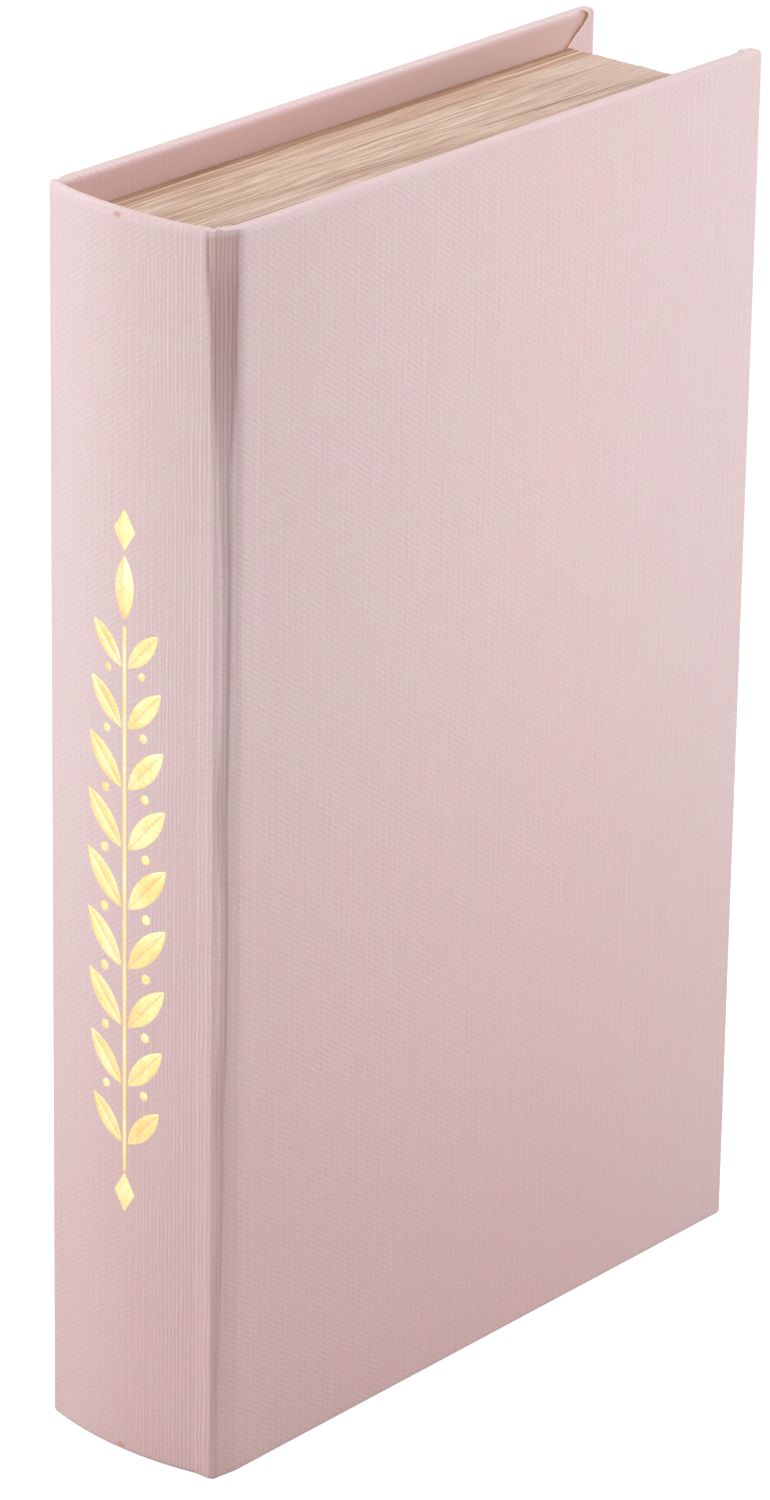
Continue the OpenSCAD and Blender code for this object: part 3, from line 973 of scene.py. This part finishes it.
def book_cloth(finish):
    u, v = finish.flat()
    x, y, z = finish.place()
    pressed = finish.mark("pressed")
    on_spine = 1 - abs(u).between(FLAT_SPINE - 0.5 * MM, FLAT_SPINE + 1.5 * MM)
    come_and_go = finish.noise((u, v), (7, 24), 9.0).between(0.38, 0.62) * 0.6 + 0.2
    by_tail = (1 - z.between(0, 0.12)) * u.between(0, 10 * MM) * 0.35 + u.over_mm(8, 15) * 0.2
    ribbed = (on_spine * (u.over_mm(-12, 14) * come_and_go + by_tail)).max(pressed)
    height, on_top, across = woven(finish, u, v, slant=on_spine * 2 - 1, ribbed=ribbed)
    threads = finish.noise((u, v), (0.8, 22), 3.0, detail=3.0)
    patches = finish.noise((u, v), (7, 8), 5.0, detail=3.0)
    clouds = finish.noise((u, v), (45, 45), 1.0)
    grain = finish.noise((u, v), (0.7, 0.7), 13.0)
    ribs = (across * across - 0.5) * ribbed * (threads * 0.5 + 0.1) * (grain * 1.4 + 0.2)
    wefts = finish.noise((u, v), (16, 0.6), 17.0, detail=3.0)
    tone = on_top * 0.55 + threads * 0.17 + wefts * 0.15 + grain * 0.2 - 0.035 + across * 0.025 + ribs
    colour = finish.ramp(tone, [(0.25, (0.617, 0.445, 0.45)), (0.5, (0.724, 0.545, 0.554)),
                                (0.75, (0.817, 0.645, 0.654))])
    colour = finish.laid_over(
        colour,
        (patches.between(0.48, 0.64) * 0.4, (0.745, 0.53, 0.55)),
        (patches.between(0.48, 0.36) * 0.35, (0.70, 0.57, 0.555)),
        (clouds.between(0.4, 0.75) * 0.2, (0.68, 0.55, 0.53)))
    # Painted light and shade: darker and redder towards the bottom, less so by the fore edge, where the
    # cloth is also made less red
    by_fore_edge = x.between(20 * MM, X_FORE)
    low_shade = 1 - z.between(0, 0.19)
    colour = finish.mix(low_shade * (0.5 - by_fore_edge * 0.19), colour, (0.856, 0.674, 0.637), "MULTIPLY")
    colour = finish.mix(by_fore_edge * 0.5, colour, (0.898, 0.972, 0.975), "MULTIPLY")
    # Painted highlight: the back half of the spine is paler, less so lower down
    by_back = on_spine * (1 - u.over_mm(-18, 8)) * (0.3 - low_shade * 0.15)
    between_ribs = 1 - across * across
    brown = finish.mix(z.between(0.257, 0.266), (0.42, 0.24, 0.245), (0.50, 0.28, 0.245))
    from_head = HEIGHT - z
    # Painted highlight: the head's rim is paler on the outer faces, fading out towards the fore edge
    rim = from_head.over_mm(0.3, 0.7) * (1 - from_head.over_mm(0.8, 2.0))
    rim = rim * (1 - on_inside(x, y)) * (1 - x.over_mm(-50, 20))
    inside_shade_colour = finish.mix(x.over_mm(-40, 40), (0.56, 0.335, 0.295), (0.535, 0.365, 0.335))
    colour = finish.laid_over(
        colour,
        (by_back, (0.84, 0.74, 0.74)),
        # The groove's brown: partly the pressing's darkening, partly painted shade in the groove
        (pressed * (between_ribs * threads * 0.45 + 0.44), brown),
        (rim * 0.4, (0.852, 0.69, 0.70)),
        # Painted shade on the covers' turned-in cloth
        (inside_shade(finish, x, y, z), inside_shade_colour),
        # Painted shade: a dark line along the bottom edges, where they meet the floor
        ((1 - z.over_mm(0.3, 0.9)) * 0.75, (0.40, 0.34, 0.39)),
        # Painted shade and highlight at the mitres' creases
        *mitre_shade_and_highlight(x, y, z),
        (spine_marks(x, y, z), (0.66, 0.30, 0.25)))
    finish.set(Base_Color=colour, Roughness=0.78 + (threads - 0.5) * 0.2, Specular_IOR_Level=0.3,
               Sheen_Weight=0.15, Sheen_Roughness=0.45,
               Normal=finish.bump(height + threads * 0.3, 0.07 * MM, 0.4))


def on_inside(x, y):
    """1 on the covers' inner faces, and 0 on their rims, their outer faces and the spine."""
    within = 1 - abs(y).between(-Y_INSIDE + 0.25 * MM, -Y_INSIDE + 0.7 * MM)
    return within * x.between(X_SPINE + 1 * MM, X_JOINT)


def inside_shade(finish, x, y, z):
    """Painted shade on the covers' turned-in cloth: darker and warmer, more so away from the rims."""
    from_end = (HEIGHT - z).min(z)
    by_fore_edge = x.between(-40 * MM, X_FORE) * 0.15 + x.over_mm(-45, 5) * 0.13
    flap = 1 - (X_FORE - x - from_end * CREASE_SLOPE).over_mm(-1, 0.5)
    inside = on_inside(x, y).max(finish.mark("pasted"))
    deeper = from_end.over_mm(0.3, 1.6) * 0.32 - from_end.over_mm(2.5, 7) * 0.1
    return inside * (deeper + by_fore_edge + 0.27) * (1 - flap * 0.55)


def mitre_shade_and_highlight(x, y, z):
    """Along the mitre's crease the cloth is dark and red, partly glue stain and partly painted shade, and
    the fold's edge beside it has a painted highlight.
    """
    from_end, from_fore = (HEIGHT - z).min(z), X_FORE - x
    hook = (from_end * (-1 / HOOK_REACH)).exp()
    across = from_fore - from_end * CREASE_SLOPE - hook * CREASE_HOOK
    near = on_inside(x, y) * (1 - from_fore.between(TURN_IN - 1 * MM, TURN_IN))
    lower = from_end.over_mm(2, 9)
    glow = across.over_mm(-0.3, 0.2) * (1 - across.between(0.5 * MM, 4.4 * MM - lower * (2.6 * MM)))
    core = across.over_mm(-0.25, 0.1) * (1 - across.over_mm(0.4, 1.1))
    fold_highlight = across.over_mm(-1.0, -0.5) * (1 - across.between(-0.35 * MM, 0)) * (1 - lower * 0.8)
    return ((glow * near * 0.55, (0.53, 0.26, 0.205)), (core * near * 0.85, (0.30, 0.145, 0.10)),
            (fold_highlight * near * 0.6, (0.88, 0.71, 0.60)))


def spine_marks(x, y, z):
    """The thin red line inside the spine's ends, and the two small marks at its middle."""
    from_axis = x - SPINE_AXIS
    radius = (from_axis * from_axis + y * y).sqrt()
    from_end = (HEIGHT - z).min(z)
    inner = 1 - radius.between(SPINE_R - SPINE_T + 0.5 * MM, SPINE_R - SPINE_T + 0.95 * MM)
    line = inner * (1 - from_end.over_mm(0.6, 1.2)) * (y.over_mm(-14, 6) * 0.55 + 0.15)
    at_tail = 1 - z.between(0.1, 0.2)
    side = (y - 0.9 * MM + at_tail * (0.8 * MM)) * 0.6
    end = from_end - 0.85 * MM - at_tail * (0.3 * MM)
    away = (side * side + end * end).sqrt()
    outer = 1 - (from_axis + SPINE_R).over_mm(1.2, 1.6)
    spot = (1 - away.over_mm(0.35, 0.8)) * outer * 0.75
    return line.max(spot) * (1 - abs(y).between(SPINE_HALF - 3 * MM, SPINE_HALF - 1 * MM))


def page_edge(finish):
    length, across = finish.flat()
    wander = finish.noise((length, across), (22, 9), 2.0, detail=1.0) - 0.5
    level = across + wander * (0.8 * MM)
    fine = finish.noise((length, level), (22, 0.7), detail=3.0, rough=0.65)
    broad = finish.noise((length, level), (50, 1.6), 4.0)
    grain = finish.noise((length, level), (4, 0.4), 8.0)
    tone = fine * 0.55 + broad * 0.33 + grain * 0.12
    colour = finish.ramp(tone, [(0.34, (0.41, 0.25, 0.18)), (0.43, (0.53, 0.36, 0.275)),
                                (0.51, (0.655, 0.48, 0.385)), (0.6, (0.78, 0.63, 0.53))])
    x, y, z = finish.place()
    middle = x.over_mm(-30, -5) * (1 - x.over_mm(35, 65))
    from_back = head_high.y - y
    by_back = 1 - (from_back - wander * (5 * MM) - middle * (2.6 * MM)).over_mm(4.5, 7.5)
    streak = finish.noise((length, level), (60, 1.1), 6.0).between(0.44, 0.56)
    shaded = 1 - from_back.over_mm(0.6, 2.6)
    colour = finish.laid_over(
        colour,
        # Painted shade in the slits between the leaves
        (finish.mark("slit") * 0.3, (0.36, 0.21, 0.14)),
        (x.between(30 * MM, X_FORE) * 0.4, (0.62, 0.50, 0.43)),
        (by_back * (0.85 - streak * (0.75 - middle * 0.3)), (0.46, 0.27, 0.18)),
        (by_back * streak * (0.5 - middle * 0.3), (0.90, 0.72, 0.57)),
        (shaded * 0.7, (0.62, 0.33, 0.20)))
    finish.set(Base_Color=colour, Roughness=0.8 + (fine - 0.5) * 0.2, Specular_IOR_Level=0.3,
               Normal=finish.bump(fine * 0.7 + grain * 0.3, 0.12 * MM, 0.6))


def grey_board(finish):
    x, y, z = finish.place()
    fibres = finish.noise((x, y, z), (0.6, 0.25, 1.4), detail=4.0)
    flecks = finish.noise((x, y, z), (1.8, 1.8, 1.8), detail=1.0)
    colour = finish.ramp(fibres, [(0.3, (0.24, 0.205, 0.17)), (0.5, (0.36, 0.315, 0.265)),
                                  (0.7, (0.45, 0.40, 0.345))])
    colour = finish.mix(flecks.between(0.66, 0.7), colour, (0.16, 0.17, 0.22))
    finish.set(Base_Color=colour, Roughness=0.85 + (fibres - 0.5) * 0.2,
               Normal=finish.bump(fibres, 0.1 * MM, 0.6))


def wall_board(finish):
    x, y, z = finish.place()
    specks = finish.noise((x, y, z), (0.5, 0.5, 0.5), detail=3.0)
    layers = finish.noise((x, y, z), (30, 1.1, 30))
    tone = specks * 0.7 + layers * 0.3
    colour = finish.ramp(tone, [(0.35, (0.40, 0.27, 0.165)), (0.5, (0.53, 0.385, 0.25)),
                                (0.65, (0.63, 0.49, 0.34))])
    finish.set(Base_Color=colour, Roughness=0.75 + (specks - 0.5) * 0.3,
               Normal=finish.bump(specks, 0.05 * MM, 0.5))


def lining_paper(finish):
    x, y, z = finish.place()
    cloudy = finish.noise((x, y, z), (14, 14, 14), detail=3.0)
    fibres = finish.noise((x, y, z), (0.7, 0.7, 2.2), detail=4.0, rough=0.6)
    laid = ((z / (1.3 * MM)) * pi).sin() * 0.5 + 0.5
    tone = cloudy * 0.4 + fibres * 0.45 + laid * 0.15
    colour = finish.ramp(tone, [(0.32, (0.72, 0.645, 0.56)), (0.5, (0.81, 0.745, 0.665)),
                                (0.68, (0.875, 0.825, 0.76))])
    finish.set(Base_Color=colour, Roughness=0.7 + (fibres - 0.5) * 0.2,
               Normal=finish.bump(fibres * 0.8 + laid * 0.2, 0.05 * MM, 0.5))


def catch_metal(finish):
    x, y, z = finish.place()
    brushed = finish.noise((x, y, z), (3, 3, 0.06), detail=3.0)
    colour = finish.ramp(brushed, [(0.35, (0.48, 0.48, 0.50)), (0.65, (0.68, 0.68, 0.70))])
    finish.set(Base_Color=colour, Metallic=1.0, Roughness=0.3 + (brushed - 0.5) * 0.2)


def gold_foil(finish):
    u, v = finish.flat()
    height = woven(finish, u, v)[0]
    worn = finish.noise((u, v), (0.9, 0.9), 2.0, detail=3.0)
    patches = finish.noise((u, v), (6, 9), 6.0)
    edge = finish.mark("foil_edge")
    tone = patches * 0.6 + worn * 0.4
    colour = finish.ramp(tone, [(0.35, (0.86, 0.55, 0.22)), (0.5, (0.93, 0.66, 0.31)),
                                (0.65, (0.97, 0.76, 0.44))])
    # Painted shade: the foil is darker down its sloping edges
    colour = finish.mix(edge * 0.6, colour, (0.70, 0.38, 0.13))
    finish.set(Base_Color=colour, Metallic=0.75, Roughness=0.42 + (worn - 0.5) * 0.25,
               Normal=finish.bump(height * 0.8 + worn * 0.4, 0.06 * MM, 0.5))


# Materials by their slots' names
FINISHES = {}


def paint(piece, slot):
    piece.data.materials.clear()
    piece.data.materials.append(FINISHES[slot])


for write in (book_cloth, page_edge, grey_board, wall_board, lining_paper, catch_metal, gold_foil):
    FINISHES[write.__name__] = bpy.data.materials.new(write.__name__)
    write(Finish(FINISHES[write.__name__]))

for subpart in frame["record"]["subparts"]:
    paint(frame["nodes"][subpart["node"]], subpart["material_slot"])


def add(piece, slot, nodes=()):
    """Finishes a new piece and hides the CAD nodes that it stands for."""
    paint(piece, slot)
    if nodes:
        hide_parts(*nodes)
    return piece


lid_covering = cover_cloth("lid_covering")
back_covering = turned_to_back(lid_covering, "back_covering")
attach(add(lid_covering, "book_cloth", ["front_cloth"]), "front_cover")
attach(add(back_covering, "book_cloth", ["back_cloth"]), "tray")

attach(add(spine_cloth(), "book_cloth", ["spine_cloth"]), "tray")
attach(add(spine_stiffener(), "grey_board", ["spine_board"]), "tray")

front_joint = joint_cloth("front_joint")
plain_joint = joint_cloth("plain_joint", at_back=True)
back_joint = turned_to_back(plain_joint, "back_joint")
bpy.data.objects.remove(plain_joint)
add(front_joint, "book_cloth", ["front_joint_cloth"])
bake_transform(front_joint)
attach(add(back_joint, "book_cloth", ["back_joint_cloth"]), "tray")

strip = add(hinge_strip(), "lining_paper", ["inner_hinge_strip"])
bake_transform(strip)

leaves = add(page_edges(), "page_edge", ["head_page_edges", "tail_page_edges", "fore_edge_page_edges"])
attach(leaves, "tray")
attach(add(ornament(), "gold_foil"), "tray")


# Studio: a white floor, soft lamps and a pale world
FLOOR_SIZE = 30
AMBIENT = 0.25
AMBIENT_COLOUR = (1.0, 0.98, 0.97)
FLOOR_GLOW = 0.75
SOFTBOX_SIZE = 0.45
LIT_POINT = (0, 0, 0.16)


def seen_directly(finish):
    """1 for what the camera sees itself, or through a reflection or glass."""
    path = finish.tree.nodes.new("ShaderNodeLightPath")
    kinds = ("Is Camera Ray", "Is Glossy Ray", "Is Transmission Ray")
    direct, mirrored, through = (Value(finish, path.outputs[kind]) for kind in kinds)
    return direct.max(mirrored).max(through)


def floor():
    select_only()
    bpy.ops.mesh.primitive_plane_add(size=FLOOR_SIZE)
    plane = settle("floor")
    paper = bpy.data.materials.new("floor_paper")
    finish = Finish(paper)
    glow = finish.mix(seen_directly(finish), (0, 0, 0), (1, 1, 1))
    finish.set(Base_Color=(0.5, 0.5, 0.5), Roughness=0.9, Emission_Color=glow, Emission_Strength=FLOOR_GLOW)
    plane.data.materials.append(paper)


def world():
    made = bpy.data.worlds.new("studio")
    bpy.context.scene.world = made
    finish = Finish(made)
    seen = seen_directly(finish)
    finish.set(Color=finish.mix(seen, AMBIENT_COLOUR, (1, 1, 1)), Strength=seen * (1 - AMBIENT) + AMBIENT)


def softbox(name, place, power):
    data = bpy.data.lights.new(name, "AREA")
    data.shape, data.size, data.energy = "SQUARE", SOFTBOX_SIZE, power
    lamp = bpy.data.objects.new(name, data)
    lamp.location = place
    lamp.rotation_euler = (Vector(LIT_POINT) - Vector(place)).to_track_quat("-Z", "Y").to_euler()
    bpy.context.scene.collection.objects.link(lamp)


floor()
world()
softbox("left_softbox", (-0.8, 0.2, 0.35), 4.3)
softbox("fore_edge_softbox", (0.42, -0.6, 0.42), 5.0)
softbox("top_softbox", (0, 0.35, 1.1), 5.6)

bpy.context.scene.view_settings.view_transform = "Standard"
